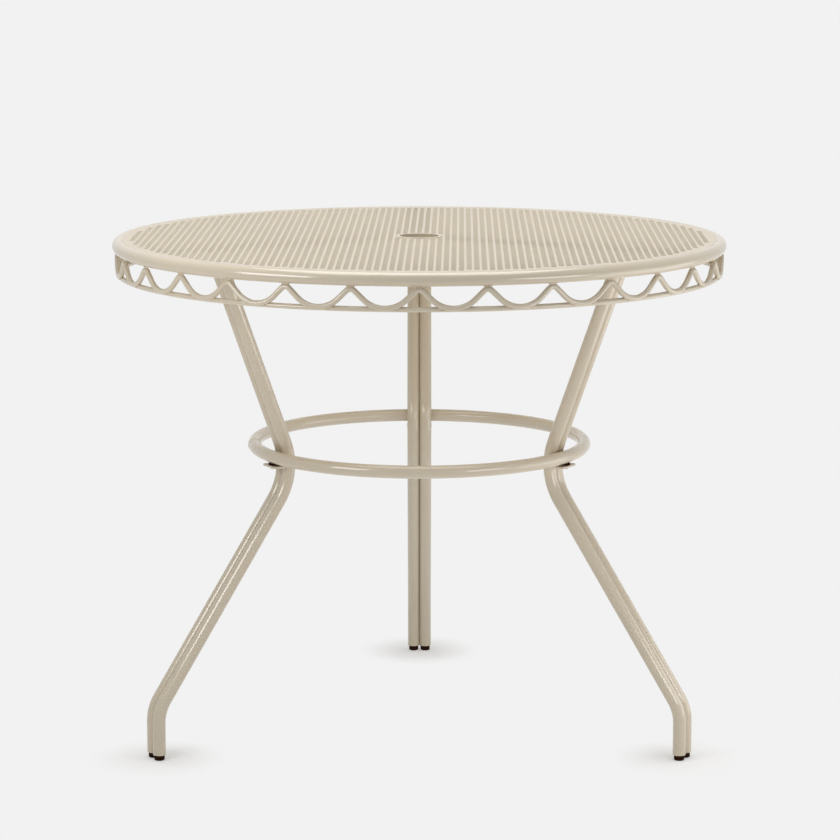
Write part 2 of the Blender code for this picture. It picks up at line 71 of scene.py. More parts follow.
WAVE_RADIUS = 0.4494
WAVE_ROD = 0.004
WAVE_CREST = 0.7187
WAVE_DEPTH = 0.0257
FLANK_SLOPE = math.radians(44.0)
CREST_BEND = 0.008
HOOP_RADIUS = 0.4470
HOOP_ROD = 0.0037
HOOP_HEIGHT = 0.6916
RAIL_TOP = 0.7409
RAIL_BOTTOM = 0.7269
RAIL_HALF = 0.022
RAIL_WALL = 0.002
RAIL_REACH = (0.0308, 0.4355)
PLATE_TOP = 0.7266
PLATE_BOTTOM = 0.7226
PLATE_HALF = 0.055
PLATE_SCREWS = {"inner": 0.294, "outer": 0.376}
LEG_TOP = 0.7223
LEG_TUBE = 0.0095
LEG_WALL = 0.0015
LEG_CORNERS = ((0.4435, 0.008), (0.4435, 0.0732), (0.216, 0.4065), (0.335, LEG_TOP))
LEG_BENDS = (0.0, 0.060, 0.095, 0.0)
PAIR_OFFSET = 0.00952
PAIR_HALF = PAIR_OFFSET + LEG_TUBE
FOOT_RADIUS = LEG_CORNERS[0][0]
RING_TUBE = 0.0095
LEGS = {"rear": 90.0, "left": 210.0, "right": 330.0}
TUBE_SIDES = {1: -1, 2: 1}

tab_low, tab_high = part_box("rear_ring_tab")
nut_low, nut_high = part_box("rear_ring_rivet_nut")
ring_low, ring_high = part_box("base_ring")
TAB_BOTTOM, TAB_TOP = tab_low.z, tab_high.z
RING_BOTTOM = ring_low.z
RING_HEIGHT = RING_BOTTOM + RING_TUBE
RING_RADIUS = -ring_low.y - RING_TUBE
TAB_END = tab_high.y
TAB_CORNER = 0.004
LEG_TOP_RADIUS = LEG_CORNERS[-1][0]
WAIST_RADIUS = 0.2273
CLEARANCE = 0.0003
SHEET_RADIUS = 0.4409
SEAM_INNER, SEAM_OUTER = 0.4426, 0.4445
HOLE_BREAK = 0.00025
HOOP_WELD_RADIUS = 0.4506
SHEET_TURN = math.radians(-0.75)
SHEET_SHIFT = -0.00046
PLATE_SCREW = 0.003
RING_SCREW = 0.0025
BOSS_HEIGHT = 0.006
RAIL_BEND = 0.0032
PLUG_TOP = 0.026
RING_JOINT = 186.0
UPWARDS = np.array([0.0, 0.0, 1.0])

# Colours and light
COAT_DARK, COAT_LIGHT = (0.64, 0.550, 0.412), (0.68, 0.590, 0.448)
BACKGROUND = 0.886
WORLD_LIGHT = 0.18
FLOOR_ALBEDO, FLOOR_GLOW = 0.90, 0.15
FOOT_SHADE, OPEN_SHADE = 0.25, 1.0
SHADE_FROM, SHADE_TO = 0.015, 0.11
TABLE_SHADE_FROM, TABLE_SHADE_TO = 0.7, 1.6
FLOOR_REACH = 80.0
AIM_HEIGHT = 0.45
LENS, SENSOR_WIDTH = 134.08, 36.0
CAMERA_PLACE = (0.001, -4.652, 1.2508)
CAMERA_PITCH = math.radians(80.405)
SOFTBOXES = {
    "overhead_softbox": (0.0, 88.0, 2.3, 2.2, 2.2, 3.1),
    "left_softbox": (-44.0, 18.6, 1.22, 0.48, 0.30, 5.4),
    "right_softbox": (40.0, 3.6, 1.14, 0.48, 0.26, 3.6),
    "side_softbox": (82.0, -5.4, 1.07, 0.90, 0.60, 1.2),
}


def unit(vectors):
    """Each vector over its own length."""
    return vectors / np.linalg.norm(vectors, axis=-1, keepdims=True)


def turned_to(points, azimuth, outwards=0.0):
    """Points moved outwards in a leg's plane, and then turned with the leg about Z."""
    angle = np.radians(azimuth)
    x = points[..., 0] + outwards
    y = points[..., 1]
    across = x * np.cos(angle) - y * np.sin(angle)
    along = x * np.sin(angle) + y * np.cos(angle)
    return np.stack([across, along, points[..., 2]], -1)


def grid_faces(rows, columns, wrap_rows=False, wrap_columns=True):
    """Quads of a grid of points, numbered along its rows, which may close on itself."""
    row = np.arange(rows if wrap_rows else rows - 1)[:, None]
    column = np.arange(columns if wrap_columns else columns - 1)[None, :]
    below, beside = (row + 1) % rows, (column + 1) % columns
    corners = (row * columns + column, row * columns + beside)
    corners += (below * columns + beside, below * columns + column)
    return np.stack(corners, -1).reshape(-1, 4)


def shell(points, wrap_rows=False, wrap_columns=True, capped=True):
    """A closed surface from a grid of points, with a flat cap on its first and last rows."""
    rows, columns = points.shape[:2]
    faces = [grid_faces(rows, columns, wrap_rows, wrap_columns)]
    if capped and not wrap_rows:
        rim = np.arange(columns)
        faces += [rim[None, ::-1], rim[None] + (rows - 1) * columns]
    return points.reshape(-1, 3), faces


def enclosed(points, faces):
    """Six times the volume inside: each face's fan of triangles, as p0 . (p1 x p2)."""
    total = 0.0
    for block in faces:
        first = points[block[:, :1]]
        fan = np.cross(points[block[:, 1:-1]], points[block[:, 2:]])
        total += float(np.sum(first * fan))
    return total


def make_piece(name, shells, finish, stands_for=(), crease=35.0):
    """One object from closed shells that all face outwards, riding on the frame."""
    points, loops, sizes = [], [], []
    start = 0
    for corners, faces in shells:
        flip = enclosed(corners, faces) < 0
        for block in faces:
            block = block[:, ::-1] if flip else block
            loops.append(block.ravel() + start)
            sizes.append(np.full(len(block), block.shape[1]))
        points.append(corners)
        start += len(corners)
    points, loops, sizes = (np.concatenate(parts) for parts in (points, loops, sizes))
    mesh = bpy.data.meshes.new(name)
    mesh.vertices.add(len(points))
    mesh.vertices.foreach_set("co", points.astype(np.float32).ravel())
    mesh.loops.add(len(loops))
    mesh.loops.foreach_set("vertex_index", loops.astype(np.int32))
    mesh.polygons.add(len(sizes))
    starts = np.concatenate([[0], np.cumsum(sizes)[:-1]])
    mesh.polygons.foreach_set("loop_start", starts.astype(np.int32))
    mesh.update(calc_edges=True)
    mesh.shade_smooth()
    mesh.set_sharp_from_angle(angle=math.radians(crease))
    mesh.materials.append(finish.material)
    piece = bpy.data.objects.new(name, mesh)
    bpy.context.scene.collection.objects.link(piece)
    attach(piece, "root")
    if stands_for:
        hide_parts(*stands_for)
    return piece


def rounded_line(corners, bends, steps=6, closed=False):
    """A line with an arc in each corner, as rows of its two coordinates and its heading.

    An arc touches its two straights at bend * tan(turn / 2) from the corner, and its centre is
    one bend to the side that the line turns to.
    """
    corners = np.asarray(corners, float)
    arriving = unit(corners - np.roll(corners, 1, 0))
    leaving = unit(np.roll(corners, -1, 0) - corners)
    if not closed:
        arriving[0], leaving[-1] = leaving[0], arriving[-1]
    rows = []
    for corner, came, goes, bend in zip(corners, arriving, leaving, bends):
        turn = math.atan2(came[0] * goes[1] - came[1] * goes[0], came @ goes)
        start = math.atan2(came[1], came[0])
        headings = start + turn * np.linspace(0, 1, steps + 1 if bend else 1)
        side = math.copysign(bend, turn)
        normals = np.stack([-np.sin(headings), np.cos(headings)], -1)
        touch = corner - came * bend * math.tan(abs(turn) / 2)
        rows.append(np.column_stack([touch + side * (normals[0] - normals), headings]))
    return np.concatenate(rows)


def turned(profile, sides=32, hollow=False, hexagon=None):
    """A profile of radii and heights turned about Z: (r cos t, r sin t, z).

    The rows that are marked in hexagon keep their corners at r, with flats between them:
    r cos 30 / cos((t mod 60) - 30).
    """
    angles = np.arange(sides) * math.tau / sides
    flats = math.cos(math.pi / 6) / np.cos(angles % (math.pi / 3) - math.pi / 6)
    radii = profile[:, :1] * np.ones(sides)
    if hexagon is not None:
        radii = np.where(np.asarray(hexagon)[:, None], radii * flats, radii)
    heights = profile[:, 1:2] * np.ones(sides)
    points = np.stack([radii * np.cos(angles), radii * np.sin(angles), heights], -1)
    return points, hollow


def turned_shell(profile, azimuth=0.0, outwards=0.0, across=0.0, **shape):
    """A turned shape as a closed shell, moved to its place in a leg's plane."""
    points, hollow = turned(profile, **shape)
    points = points + np.array([0.0, across, 0.0])
    return shell(turned_to(points, azimuth, outwards), wrap_rows=hollow)


def hoop_shell(radius, rod, height, steps, sides):
    """A round rod bent into a hoop: ((R + r cos v) cos u, (R + r cos v) sin u, h + r sin v)."""
    u = np.arange(steps)[:, None] * math.tau / steps
    v = np.arange(sides)[None, :] * math.tau / sides
    reach = radius + rod * np.cos(v)
    points = np.stack([reach * np.cos(u), reach * np.sin(u), height + rod * np.sin(v) + 0 * u], -1)
    return shell(points, wrap_rows=True)


def swept(path, radii, first, sides=12, wrap=False):
    """Round sections of the given radii along a path: c + r (f cos v + s sin v).

    f is the given direction made square to the path, and s is square to both.
    """
    path = np.asarray(path, float)
    if wrap:
        ahead = unit(np.roll(path, -1, 0) - np.roll(path, 1, 0))
    else:
        ahead = unit(np.gradient(path, axis=0))
    first = first - np.sum(first * ahead, -1, keepdims=True) * ahead
    first = unit(first)
    second = np.cross(ahead, first)
    v = np.arange(sides) * math.tau / sides
    spokes = first[:, None] * np.cos(v)[:, None] + second[:, None] * np.sin(v)[:, None]
    radii = np.broadcast_to(radii, len(path))[:, None, None]
    return shell(path[:, None] + spokes * radii, wrap_rows=wrap)


def weld_bead(path, width, ripples, sides=10):
    """A weld along a line, of radius w (1 - t^4)^(1/2) (1 + 0.07 cos(2 pi n t)), t from -1 to 1."""
    t = np.linspace(-0.97, 0.97, len(path))
    radii = width * np.sqrt(1 - t**4) * (1 + 0.07 * np.cos(math.tau * ripples * t))
    return swept(path, radii, UPWARDS, sides)


def flat_plate(outline, holes, keep, rings):
    """A flat plate with holes: its two faces, and a wall along every loop of its outline.

    The outline and each kind of hole is a function that gives its loops, an array of loops by
    points by 2, when they are moved into the plate by an inset. The rings are the insets of the
    outline and of the holes with their height, from the lower face to the upper one. The faces
    are the triangles between the loops whose middles pass the test keep.
    """
    levels = []
    for outer_inset, hole_inset, height in rings:
        loops = [outline(outer_inset)] + [hole(hole_inset) for hole in holes]
        flat = np.concatenate([loop.reshape(-1, 2) for loop in loops])
        levels.append(np.column_stack([flat, np.full(len(flat), height)]))
    edges, total = [], 0
    for loop in loops:
        number = total + np.arange(loop[..., 0].size).reshape(loop.shape[:2])
        edge = np.stack([number, np.roll(number, -1, 1)], -1).reshape(-1, 2)
        edges.append(edge if total == 0 else edge[:, ::-1])
        total += number.size
    edges = np.concatenate(edges)
    upper = levels[-1][:, :2]
    triangles = delaunay_2d_cdt(upper.tolist(), edges.tolist(), [], 0, 1e-7, False)[2]
    triangles = np.array(triangles)
    triangles = triangles[keep(*upper[triangles].mean(1).T)]
    walls = []
    for level in range(len(rings) - 1):
        low, high = edges + total * level, edges + total * (level + 1)
        walls.append(np.column_stack([low, high[:, ::-1]]))
    faces = [triangles + total * (len(rings) - 1), triangles[:, ::-1], np.concatenate(walls)]
    return np.concatenate(levels), faces


def round_loop(radius, count, centre=(0.0, 0.0), hole=False):
    """A circle of a plate's outline, which the inset makes smaller, or wider if it is a hole."""
    angles = np.arange(count) * math.tau / count
    ring = np.stack([np.cos(angles), np.sin(angles)], -1)[None]
    sign = 1 if hole else -1
    return lambda inset: np.asarray(centre) + ring * (radius + sign * inset)


def outside(x, y, centre, radius):
    return np.hypot(x - centre[0], y - centre[1]) > radius


def rolled_edges(low, high, radius, steps=3):
    """Rings of a plate with a quarter circle along both edges: r (1 - sin t), r (1 - cos t)."""
    turn = np.linspace(0, math.pi / 2, steps + 1)
    inset, rise = radius * (1 - np.sin(turn)), radius * (1 - np.cos(turn))
    lower = np.column_stack([inset, inset, low + rise])
    upper = np.column_stack([inset, inset, high - rise])
    return np.concatenate([lower, upper[::-1]])


def punched_places():
    """Which holes are whole between the flange and the plain margin, by row and column."""
    reach = int(FIELD_RADIUS / HOLE_PITCH) + 1
    step = np.arange(-reach, reach + 1) * HOLE_PITCH
    across, along = np.abs(step + SHEET_SHIFT)[:, None], np.abs(step)[None, :]
    near = np.hypot(np.maximum(across - HOLE_HALF, 0), np.maximum(along - HOLE_HALF, 0))
    return (near >= FLANGE) & (np.hypot(across + HOLE_HALF, along + HOLE_HALF) <= FIELD_RADIUS)


def make_perforated_sheet(finish):
    """The sheet with its square holes, each with a small break along its upper edge."""
    punched = punched_places()
    reach = punched.shape[0] // 2
    shift = np.array([SHEET_SHIFT, 0.0])
    centres = (np.argwhere(punched) - reach) * HOLE_PITCH + shift
    square = np.array([(-1, -1), (1, -1), (1, 1), (-1, 1)])
    cos, sin = math.cos(SHEET_TURN), math.sin(SHEET_TURN)
    turn = np.array([(cos, sin), (-sin, cos)])

    def squares(inset):
        return (centres[:, None] + square * (HOLE_HALF + inset)) @ turn

    def solid(x, y):
        middle = np.stack([x, y], -1) @ turn.T - shift
        nearest = np.rint(middle / HOLE_PITCH).astype(int)
        off = np.abs(middle - nearest * HOLE_PITCH).max(1)
        spot = np.clip(nearest + reach, 0, 2 * reach)
        in_hole = punched[spot[:, 0], spot[:, 1]] & (off < HOLE_HALF + HOLE_BREAK)
        return ~in_hole & (np.hypot(x, y) > SLEEVE)

    rings = ((SEAM_INNER - SHEET_RADIUS, 0.0, SHEET_BOTTOM), (0.0, 0.0, SHEET_TOP - HOLE_BREAK))
    rings += ((HOLE_BREAK, HOLE_BREAK, SHEET_TOP),)
    holes = (round_loop(SLEEVE + CLEARANCE, 48, hole=True), squares)
    plate = flat_plate(round_loop(SEAM_INNER, 240), holes, solid, rings)
    make_piece("perforated_sheet", [plate], finish, ["top_sheet"], crease=20.0)


def make_rim(finish):
    """The rolled tube, and the seam that closes the groove between it and the sheet."""
    rim = hoop_shell(RIM_RADIUS, RIM_TUBE, RIM_HEIGHT, 360, 32)
    make_piece("rolled_rim", [rim], finish, ["rim_tube"])
    corners = [(SEAM_INNER, SHEET_BOTTOM), (SEAM_INNER, SHEET_TOP - 0.0003)]
    corners += [(SEAM_INNER + 0.0004, SHEET_TOP - 0.0001), (SEAM_OUTER, SHEET_TOP - 0.0001)]
    corners += [(SEAM_OUTER, SHEET_BOTTOM)]
    profile = rounded_line(corners, (0.0, 0.0002, 0.0003, 0.0002, 0.0), 3, closed=True)
    make_piece("rim_seam", [turned_shell(profile, sides=240, hollow=True)], finish)


def make_collar(finish):
    """The flanged sleeve of the umbrella hole, whose lip hangs over its wall."""
    wall = SLEEVE - SLEEVE_WALL
    corners = [(BORE, FLANGE_TOP), (FLANGE, FLANGE_TOP), (FLANGE, SHEET_TOP)]
    corners += [(SLEEVE, SHEET_TOP), (SLEEVE, SLEEVE_END), (wall, SLEEVE_END)]
    corners += [(wall, SHEET_TOP), (BORE, SHEET_TOP)]
    bends = (0.0007, 0.0007, 0.0, 0.0, 0.0003, 0.0002, 0.0003, 0.0004)
    profile = rounded_line(corners, bends, 5, closed=True)
    collar = turned_shell(profile, sides=96, hollow=True)
    make_piece("umbrella_sleeve", [collar], finish, ["umbrella_collar"])


def scallop_line():
    """The wave's centreline round the whole rim, as distances and heights.

    Crests and troughs are arcs joined by straight flanks of slope a. Half a scallop is
    (R + r) sin a + L cos a long and (R + r)(1 - cos a) + L sin a deep, so that
    R + r = (half - depth / tan a) / tan(a / 2).
    """
    half = math.pi * WAVE_RADIUS / SCALLOPS
    both = (half - WAVE_DEPTH / math.tan(FLANK_SLOPE)) / math.tan(FLANK_SLOPE / 2)
    trough = both - CREST_BEND
    rise = np.linspace(0, FLANK_SLOPE, 7)
    swing = np.linspace(-FLANK_SLOPE, FLANK_SLOPE, 19)
    crest_run, crest_drop = CREST_BEND * np.sin(rise), CREST_BEND * (1 - np.cos(rise))
    run = [crest_run, half + trough * np.sin(swing), 2 * half - crest_run[:0:-1]]
    drop = [crest_drop, WAVE_DEPTH - trough * (1 - np.cos(swing)), crest_drop[:0:-1]]
    starts = np.arange(SCALLOPS)[:, None] * 2 * half
    distance = (starts + np.concatenate(run)).ravel()
    return distance, np.tile(WAVE_CREST - np.concatenate(drop), SCALLOPS)


def round_rim(distance, height, radius):
    """Places at distances round an upright cylinder, from the front, with their directions out."""
    angle = distance / WAVE_RADIUS - math.pi / 2
    out = np.stack([np.cos(angle), np.sin(angle), 0 * angle], -1)
    return out * radius + np.stack([0 * angle, 0 * angle, height + 0 * angle], -1), out


def lapped(points):
    """Points of the wave moved out onto the hoop: to R + (c^2 - (z - h)^2)^(1/2) if nearer.

    R and h are the hoop's radius and height, and c is its rod's radius with a clearance.
    """
    reach = np.hypot(points[:, 0], points[:, 1])
    rise = points[:, 2] - HOOP_HEIGHT
    seat = (HOOP_ROD + CLEARANCE / 2) ** 2 - rise**2
    wanted = np.where(seat > 0, HOOP_RADIUS + np.sqrt(np.maximum(seat, 0)), 0)
    grow = np.maximum(wanted / reach, 1)
    return points * np.stack([grow, grow, np.ones_like(grow)], -1)


def make_apron(finish):
    """The scalloped rod, the hoop that its troughs lap over and the welds that hold them."""
    path, out = round_rim(*scallop_line(), WAVE_RADIUS)
    points, faces = swept(path, WAVE_ROD, out, sides=16, wrap=True)
    make_piece("scalloped_rod", [(lapped(points), faces)], finish, ["apron_wave"])
    hoop = hoop_shell(HOOP_RADIUS, HOOP_ROD, HOOP_HEIGHT, 360, 14)
    make_piece("lower_hoop", [hoop], finish, ["apron_hoop"])
    pitch = math.tau * WAVE_RADIUS / SCALLOPS
    beads = []
    for scallop in range(SCALLOPS):
        along = (scallop + np.linspace(-0.065, 0.065, 13)) * pitch
        top, _ = round_rim(along, WAVE_CREST + WAVE_ROD + 0.0002, WAVE_RADIUS - 0.0002)
        along = (scallop + 0.5 + np.linspace(-0.19, 0.19, 25)) * pitch
        low, _ = round_rim(along, HOOP_HEIGHT - 0.0008, HOOP_WELD_RADIUS)
        beads += [weld_bead(top, 0.0019, 2.5), weld_bead(low, 0.0013, 3.5)]
    make_piece("apron_welds", beads, finish)


def tube_wall(line, radii, across):
    """Sections of a leg tube square to its line, with its top cut level.

    A point is c + r (out cos v + Y sin v), and at the top it slides along the tube to the level.
    """
    heading = line[:, 2, None]
    v = np.arange(32)[None, :] * math.tau / 32
    x = line[:, :1] + radii[:, None] * np.cos(v) * np.sin(heading)
    z = line[:, 1:2] - radii[:, None] * np.cos(v) * np.cos(heading)
    y = across + radii[:, None] * np.sin(v)
    slide = (LEG_TOP - z[-1]) / math.tan(line[-1, 2])
    x[-1] += slide
    z[-1] = LEG_TOP
    return np.stack([x, y, z], -1)


def leg_line():
    """A leg tube's centreline from the foot up, with two more places at its rounded lip."""
    line = rounded_line(LEG_CORNERS, LEG_BENDS, steps=22)
    lip = np.repeat(line[:1], 3, 0)
    lip[:, 1] += (0.0, 0.00012, 0.0004)
    return np.concatenate([lip, line[1:]])


def make_leg_tubes(side, azimuth, finish, plug_finish):
    """The pair of bent tubes, open at the foot with the plugs in them."""
    line = leg_line()
    lip = np.zeros(len(line))
    lip[:2] = (0.0004, 0.00012)
    plug_radius = LEG_TUBE - LEG_WALL - CLEARANCE
    corners = [(0.0, 0.0), (plug_radius, 0.0), (plug_radius, PLUG_TOP), (0.0, PLUG_TOP)]
    plug_profile = rounded_line(corners, (0.0, 0.0022, 0.0006, 0.0), 8)[1:-1]
    for number, offset_side in TUBE_SIDES.items():
        across = offset_side * PAIR_OFFSET
        outer = tube_wall(line, LEG_TUBE - lip, across)
        inner = tube_wall(line, LEG_TUBE - LEG_WALL + lip, across)
        wall = turned_to(np.concatenate([outer, inner[::-1]]), azimuth)
        tube = shell(wall, wrap_rows=True)
        make_piece(f"{side}_bent_tube_{number}", [tube], finish, [f"{side}_leg_tube_{number}"])
        plug = turned_shell(plug_profile, azimuth, FOOT_RADIUS, across)
        name = f"{side}_tube_plug_{number}"
        make_piece(name, [plug], plug_finish, [f"{side}_foot_plug_{number}"])


def rounded_rectangle(centre, half_length, half_width, corner):
    """A loop with round corners, which the inset makes smaller all round."""
    def loop(inset):
        x, y = half_length - inset, half_width - inset
        corners = [(centre - x, -y), (centre + x, -y), (centre + x, y), (centre - x, y)]
        return rounded_line(corners, [corner - inset] * 4, 8, closed=True)[None, :, :2]
    return loop


def make_top_plate(side, azimuth, finish):
    """The plate over a pair of tubes and the weld round each tube under it."""
    places = [(radius, 0.0) for radius in PLATE_SCREWS.values()]
    holes = [round_loop(PLATE_SCREW + CLEARANCE, 24, place, hole=True) for place in places]

    def solid(x, y):
        return np.all([outside(x, y, place, PLATE_SCREW) for place in places], axis=0)

    outline = rounded_rectangle(LEG_TOP_RADIUS, PLATE_HALF, RAIL_HALF, 0.008)
    rings = rolled_edges(PLATE_BOTTOM, PLATE_TOP, 0.0005)
    points, faces = flat_plate(outline, holes, solid, rings)
    plate = (turned_to(points, azimuth), faces)
    make_piece(f"{side}_head_plate", [plate], finish, [f"{side}_leg_plate"])
    lean = leg_line()[-1, 2]
    angle = np.arange(40) * math.tau / 40
    beads = []
    for offset_side in TUBE_SIDES.values():
        reach = LEG_TUBE + 0.0006
        x = LEG_TOP_RADIUS + reach / math.sin(lean) * np.cos(angle)
        y = offset_side * PAIR_OFFSET + reach * np.sin(angle)
        path = turned_to(np.stack([x, y, PLATE_BOTTOM - 0.0004 + 0 * angle], -1), azimuth)
        width = 0.0018 * (1 + 0.06 * np.cos(17 * angle))
        beads.append(swept(path, width, UPWARDS, 10, wrap=True))
    make_piece(f"{side}_head_welds", beads, finish)


def make_rail(side, azimuth, finish):
    """The folded channel under the sheet: an outer and an inner line with round bends."""
    lines = []
    for inset, bend in ((0.0, RAIL_BEND), (RAIL_WALL, RAIL_BEND - RAIL_WALL)):
        y, z = RAIL_HALF - inset, RAIL_BOTTOM + inset
        corners = [(-y, RAIL_TOP), (-y, z), (y, z), (y, RAIL_TOP)]
        lines.append(rounded_line(corners, (0.0, bend, bend, 0.0), 8)[:, :2])
    outer, inner = lines
    sections = []
    for x, line in ((0, outer), (1, outer), (1, inner), (0, inner)):
        sections.append(np.column_stack([np.full(len(line), RAIL_REACH[x]), line]))
    points = turned_to(np.stack(sections, 1), azimuth)
    make_piece(f"{side}_folded_rail", [shell(points)], finish, [f"{side}_top_rail"])


def make_ring(finish):
    """The hoop round the waist, with the ground-down weld where its tube's ends meet."""
    ring = hoop_shell(RING_RADIUS, RING_TUBE, RING_HEIGHT, 240, 32)
    make_piece("waist_ring", [ring], finish, ["base_ring"])
    place = np.array([[RING_RADIUS, 0.0, RING_HEIGHT]])
    turn = np.arange(40) * math.tau / 40
    reach = RING_TUBE - 0.0003
    around = np.stack([reach * np.cos(turn), 0 * turn, reach * np.sin(turn)], -1)
    path = turned_to(place + around, RING_JOINT)
    width = 0.0008 * (1 + 0.12 * np.cos(11 * turn))
    first = turned_to(np.broadcast_to([0.0, 1.0, 0.0], path.shape), RING_JOINT)
    make_piece("ring_joint_weld", [swept(path, width, first, 8, wrap=True)], finish)


def bracket_outline(inset):
    """The tab's outline: two hollows round the tubes, straight sides and two round corners."""
    seat, half = LEG_TUBE + CLEARANCE + inset, PAIR_HALF - inset
    edge, middle = math.asin((half - PAIR_OFFSET) / seat), math.asin(PAIR_OFFSET / seat)
    turn = np.linspace(0, math.pi / 2, 9)
    corner = np.stack([np.cos(turn), np.sin(turn)], -1) * (TAB_CORNER - inset)
    corner += (TAB_END - TAB_CORNER, PAIR_HALF - TAB_CORNER)
    end = np.concatenate([corner[::-1] * (1, -1), corner])
    upper = np.linspace(edge, -middle, 17)
    arc = np.stack([WAIST_RADIUS + seat * np.cos(upper), PAIR_OFFSET + seat * np.sin(upper)], -1)
    mirrored = arc[-2::-1] * (1, -1)
    return np.concatenate([end, arc, mirrored])[None]


def make_bracket(side, azimuth, finish):
    """The tab that carries the ring, and its welds along both tubes above and below."""
    screw = (RING_RADIUS, 0.0)

    def solid(x, y):
        tubes = outside(x, np.abs(y), (WAIST_RADIUS, PAIR_OFFSET), LEG_TUBE + CLEARANCE)
        return tubes & outside(x, y, screw, RING_SCREW)

    holes = [round_loop(RING_SCREW + CLEARANCE, 24, screw, hole=True)]
    rings = rolled_edges(TAB_BOTTOM, TAB_TOP, 0.0005)
    points, faces = flat_plate(bracket_outline, holes, solid, rings)
    tab = (turned_to(points, azimuth), faces)
    make_piece(f"{side}_ring_bracket", [tab], finish, [f"{side}_ring_tab"])
    beads = []
    turn = np.radians(np.linspace(-74, 74, 25))
    for offset_side in TUBE_SIDES.values():
        for height in (TAB_BOTTOM - 0.0004, TAB_TOP + 0.0004):
            x = WAIST_RADIUS + (LEG_TUBE + 0.0006) * np.cos(turn)
            y = offset_side * (PAIR_OFFSET + (LEG_TUBE + 0.0006) * np.sin(turn))
            path = turned_to(np.stack([x, y, height + 0 * turn], -1), azimuth)
            beads.append(weld_bead(path, 0.0017, 4.5))
    make_piece(f"{side}_bracket_welds", beads, finish)


def button_screw(seat, head, height, shank, socket, tip):
    """A screw from its tip down: shank, domed head and a six-sided socket in it."""
    face = seat - height
    corners = [(0.0, tip), (shank, tip), (shank, seat), (head, seat), (head, face), (socket, face)]
    bends = (0.0, 0.0005, 0.0, 0.0003, height * 0.8, 0.0)
    outside_line = rounded_line(corners, bends, 6)[1:]
    floor = face + height * 0.6
    hexagon = [(socket, face), (socket, floor)]
    profile = np.concatenate([outside_line[:-1, :2], [(socket * 1.12, face)], hexagon])
    marked = np.zeros(len(profile), bool)
    marked[-2:] = True
    return {"profile": profile, "sides": 48, "hexagon": marked}


def make_sleeve(name, bore, outer, low, high, ease, place, finish, stands_for):
    """A short turned ring with eased edges, such as a washer, an insert or a boss."""
    corners = [(bore, low), (outer, low), (outer, high), (bore, high)]
    profile = rounded_line(corners, [ease] * 4, 3, closed=True)
    ring = turned_shell(profile, *place, sides=36, hollow=True)
    make_piece(name, [ring], finish, [stands_for])


def make_top_fasteners(side, azimuth, cream, zinc):
    """Screws up through the head plate and the bosses in the rail that take them."""
    floor = RAIL_BOTTOM + RAIL_WALL + CLEARANCE
    tip = floor + BOSS_HEIGHT + 0.001
    screw = button_screw(PLATE_BOTTOM, 0.0055, 0.0035, PLATE_SCREW, 0.0023, tip)
    for place, radius in PLATE_SCREWS.items():
        shape = turned_shell(azimuth=azimuth, outwards=radius, **screw)
        stands_for = [f"{side}_plate_screw_{place}"]
        make_piece(f"{side}_button_screw_{place}", [shape], zinc, stands_for)
        name, node = f"{side}_threaded_boss_{place}", f"{side}_rail_boss_{place}"
        size = (PLATE_SCREW + CLEARANCE, 0.006, floor, floor + BOSS_HEIGHT, 0.0005)
        make_sleeve(name, *size, (azimuth, radius), zinc, node)


def make_ring_fasteners(side, azimuth, zinc, plastic):
    """A screw up through the bracket, the dark spacer and the insert in the ring."""
    place = (azimuth, RING_RADIUS)
    screw = button_screw(TAB_BOTTOM, 0.0045, 0.003, RING_SCREW, 0.0018, nut_high.z - 0.001)
    shape = turned_shell(azimuth=azimuth, outwards=RING_RADIUS, **screw)
    make_piece(f"{side}_bracket_screw", [shape], zinc, [f"{side}_ring_screw"])
    bore = RING_SCREW + CLEARANCE
    spacer = (bore, 0.007, TAB_TOP + 0.0001, RING_BOTTOM + 0.0002, 0.0004)
    make_sleeve(f"{side}_spacer", *spacer, place, plastic, f"{side}_ring_spacer")
    insert = (bore, 0.0037, nut_low.z, nut_high.z, 0.0003)
    make_sleeve(f"{side}_threaded_insert", *insert, place, zinc, f"{side}_ring_rivet_nut")


class Socket:
    """A value in a material's nodes. Sums and products of it add their Math nodes."""

    def __init__(self, finish, output):
        self.finish, self.output = finish, output

    def math(self, operation, first, second):
        return self.finish.add("ShaderNodeMath", {"operation": operation}, {0: first, 1: second})

    def __add__(self, other):
        return self.math("ADD", self, other)

    def __mul__(self, other):
        return self.math("MULTIPLY", self, other)

    __radd__, __rmul__ = __add__, __mul__


class Nodes:
    """The node tree of a material or of the world."""

    def __init__(self, owner):
        owner.use_nodes = True
        self.tree = owner.node_tree

    def feed(self, socket, value):
        """Link a socket, or set its constant."""
        if isinstance(value, Socket):
            self.tree.links.new(value.output, socket)
        else:
            socket.default_value = value

    def add(self, kind, settings=None, inputs=None, output=0):
        """A node of any kind: its settings first, and then its sockets' values and links."""
        node = self.tree.nodes.new(kind)
        for setting, value in (settings or {}).items():
            setattr(node, setting, value)
        for socket, value in (inputs or {}).items():
            self.feed(node.inputs[socket], value)
        return Socket(self, node.outputs[output])


